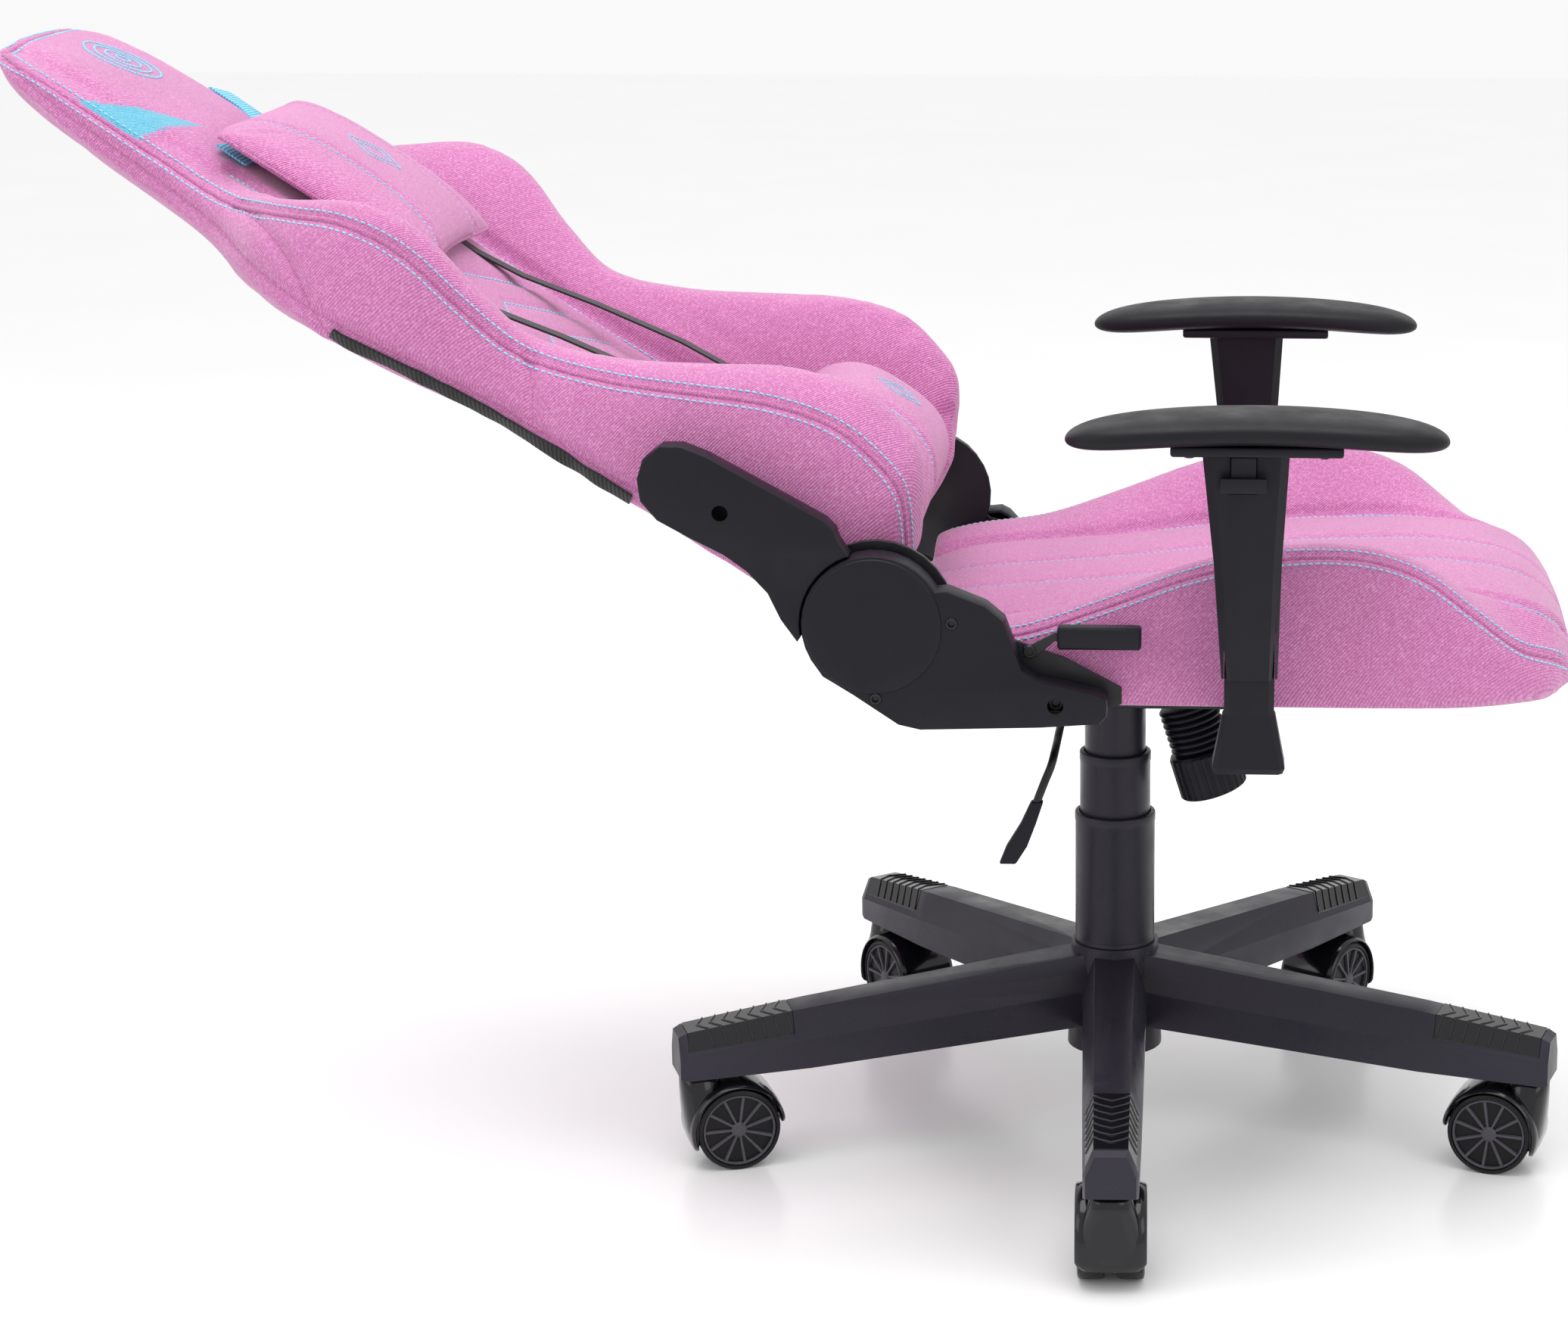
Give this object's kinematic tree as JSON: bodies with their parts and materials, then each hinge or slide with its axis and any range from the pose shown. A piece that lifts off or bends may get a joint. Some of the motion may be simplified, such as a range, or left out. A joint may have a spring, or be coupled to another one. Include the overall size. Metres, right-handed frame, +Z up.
{
  "type": "gaming chair",
  "caption": "Gaming chair with a winged reclining back, loose head and lumbar pillows, height-adjustable armrests and a gas-lift star base on casters, shown reclined.",
  "frame": {"origin": "centre of the chair's outline, on the floor", "axes": "+Z up, +Y towards the chair's back, +X towards the chair's left-hand side"},
  "size_m": [0.6492, 1.1608, 0.8489],
  "materials": {
    "pink_fabric": "heathered pink twill over foam",
    "black_plastic": "fine-textured moulded polypropylene",
    "base_nylon": "satin glass-filled nylon",
    "gloss_black": "polished nylon",
    "wheel": "smooth wheel tread",
    "black_steel": "powder-coated steel",
    "bright_steel": "ground and plated steel",
    "plywood": "unfinished plywood",
    "black_webbing": "elastic webbing",
    "blue_webbing": "ribbed webbing",
    "arm_pad": "soft moulded polyurethane"
  },
  "bodies": {
    "base": {"star_base": "base_nylon", "footrest_insert_1": "gloss_black", "footrest_insert_2": "gloss_black", "footrest_insert_3": "gloss_black", "footrest_insert_4": "gloss_black", "footrest_insert_5": "gloss_black", "gas_stand_tube": "black_steel", "outer_cover": "base_nylon"},
    "caster_1": {"caster_hood_1": "gloss_black"},
    "wheels_1": {"caster_wheels_1": "wheel"},
    "caster_2": {"caster_hood_2": "gloss_black"},
    "wheels_2": {"caster_wheels_2": "wheel"},
    "caster_3": {"caster_hood_3": "gloss_black"},
    "wheels_3": {"caster_wheels_3": "wheel"},
    "caster_4": {"caster_hood_4": "gloss_black"},
    "wheels_4": {"caster_wheels_4": "wheel"},
    "caster_5": {"caster_hood_5": "gloss_black"},
    "wheels_5": {"caster_wheels_5": "wheel"},
    "swivel": {"piston_rod": "bright_steel", "thrust_bearing": "bright_steel", "retaining_clip": "black_steel"},
    "lift": {"gas_cylinder": "black_steel", "inner_cover": "base_nylon", "tilt_housing": "black_steel", "spring_bellows": "black_plastic"},
    "middle_cover": {"middle_cover": "base_nylon"},
    "knob": {"tension_knob": "black_plastic"},
    "height_lever": {"lift_lever": "black_steel", "lift_lever_grip": "black_plastic"},
    "seat": {"tilt_plate": "black_steel", "seat_pan": "plywood", "seat_cushion": "pink_fabric", "arm_bracket_right": "black_steel", "arm_bracket_left": "black_steel", "arm_post_right": "black_plastic", "arm_post_left": "black_plastic", "seat_bracket_right": "black_steel", "seat_bracket_left": "black_steel", "seat_cover_right": "black_plastic", "seat_cover_left": "black_plastic"},
    "back_lever": {"recline_lever": "black_steel", "recline_handle": "black_plastic"},
    "armrest_right": {"arm_sleeve_right": "black_plastic", "arm_pad_right": "arm_pad"},
    "button_right": {"arm_button_right": "black_plastic"},
    "armrest_left": {"arm_sleeve_left": "black_plastic", "arm_pad_left": "arm_pad"},
    "button_left": {"arm_button_left": "black_plastic"},
    "back": {"back_cushion": "pink_fabric", "back_cover": "pink_fabric", "back_frame": "black_steel", "back_bracket_right": "black_steel", "back_bracket_left": "black_steel", "arm_cover_right": "black_plastic", "arm_cover_left": "black_plastic", "head_pillow_webbing": "blue_webbing", "back_straps": "black_webbing"},
    "head_pillow": {"head_pillow": "pink_fabric"},
    "lumbar_pillow": {"lumbar_pillow": "pink_fabric"}
  },
  "joints": [
    {"name": "caster_swivel_1", "type": "hinge", "parent": "base", "child": "caster_1", "pos_m": [-0.30707, -0.24879, 0.05], "axis": [0, 0, 1], "continuous": true},
    {"name": "wheel_roll_1", "type": "hinge", "parent": "caster_1", "child": "wheels_1", "pos_m": [-0.28108, -0.24807, 0.032], "axis": [0.0276, -0.9996, 0], "continuous": true},
    {"name": "caster_swivel_2", "type": "hinge", "parent": "base", "child": "caster_2", "pos_m": [-0.06832, -0.55902, 0.05], "axis": [0, 0, 1], "continuous": true},
    {"name": "wheel_roll_2", "type": "hinge", "parent": "caster_2", "child": "wheels_2", "pos_m": [-0.06097, -0.53408, 0.032], "axis": [0.9592, -0.2827, 0], "continuous": true},
    {"name": "caster_swivel_3", "type": "hinge", "parent": "base", "child": "caster_3", "pos_m": [0.3005, -0.42782, 0.05], "axis": [0, 0, 1], "continuous": true},
    {"name": "wheel_roll_3", "type": "hinge", "parent": "caster_3", "child": "wheels_3", "pos_m": [0.27905, -0.41313, 0.032], "axis": [0.5652, 0.8249, 0], "continuous": true},
    {"name": "caster_swivel_4", "type": "hinge", "parent": "base", "child": "caster_4", "pos_m": [0.2897, -0.03651, 0.05], "axis": [0, 0, 1], "continuous": true},
    {"name": "wheel_roll_4", "type": "hinge", "parent": "caster_4", "child": "wheels_4", "pos_m": [0.26909, -0.05236, 0.032], "axis": [-0.6099, 0.7925, 0], "continuous": true},
    {"name": "caster_swivel_5", "type": "hinge", "parent": "base", "child": "caster_5", "pos_m": [-0.0858, 0.07414, 0.05], "axis": [0, 0, 1], "continuous": true},
    {"name": "wheel_roll_5", "type": "hinge", "parent": "caster_5", "child": "wheels_5", "pos_m": [-0.07709, 0.04965, 0.032], "axis": [-0.9422, -0.3351, 0], "continuous": true},
    {"name": "seat_swivel", "type": "hinge", "parent": "base", "child": "swivel", "pos_m": [0.0258, -0.2396, 0.07], "axis": [0, 0, 1], "continuous": true},
    {"name": "seat_lift", "type": "slide", "parent": "swivel", "child": "lift", "axis": [0, 0, 1], "range_m": [-0.07, 0.01]},
    {"name": "middle_cover_slide", "type": "slide", "parent": "swivel", "child": "middle_cover", "axis": [0, 0, 1], "range_m": [-0.035, 0.005]},
    {"name": "tension_turn", "type": "hinge", "parent": "lift", "child": "knob", "pos_m": [0.0258, -0.30565, 0.30515], "axis": [0, 0.3057, 0.9521], "range_deg": [-360, 360]},
    {"name": "height_lever_pull", "type": "hinge", "parent": "lift", "child": "height_lever", "pos_m": [-0.0312, -0.2036, 0.3525], "axis": [0, 1, 0], "range_deg": [0, 5], "stiffness_Nm_per_rad": 4, "springref_deg": -8.59},
    {"name": "seat_tilt", "type": "hinge", "parent": "lift", "child": "seat", "pos_m": [0.0258, -0.2696, 0.366], "axis": [-1, 0, 0], "range_deg": [0, 12], "stiffness_Nm_per_rad": 120, "springref_deg": -34.38},
    {"name": "back_lever_pull", "type": "hinge", "parent": "seat", "child": "back_lever", "pos_m": [-0.1983, -0.1871, 0.4368], "axis": [-1, 0, 0], "range_deg": [0, 25], "stiffness_Nm_per_rad": 1.5, "springref_deg": -11.46},
    {"name": "arm_height_right", "type": "slide", "parent": "seat", "child": "armrest_right", "axis": [0, 0, 1], "range_m": [-0.024, 0.046]},
    {"name": "button_press_right", "type": "slide", "parent": "armrest_right", "child": "button_right", "axis": [1, 0, 0], "range_m": [0, 0.003], "stiffness_N_per_m": 500, "springref_m": -0.004},
    {"name": "arm_height_left", "type": "slide", "parent": "seat", "child": "armrest_left", "axis": [0, 0, 1], "range_m": [-0.024, 0.046]},
    {"name": "button_press_left", "type": "slide", "parent": "armrest_left", "child": "button_left", "axis": [-1, 0, 0], "range_m": [0, 0.003], "stiffness_N_per_m": 500, "springref_m": -0.004},
    {"name": "back_recline", "type": "hinge", "parent": "seat", "child": "back", "pos_m": [0.0258, -0.0781, 0.4585], "axis": [-1, 0, 0], "range_deg": [-56.7, 8.3]},
    {"name": "head_pillow_slide", "type": "slide", "parent": "back", "child": "head_pillow", "axis": [0, 0.8358, 0.549], "range_m": [-0.03, 0.03]},
    {"name": "lumbar_pillow_slide", "type": "slide", "parent": "back", "child": "lumbar_pillow", "axis": [0, 0.8358, 0.549], "range_m": [0, 0.06]}
  ],
  "couplings": [
    {"joint": "middle_cover_slide", "follows": "seat_lift", "ratio": 0.5}
  ]
}
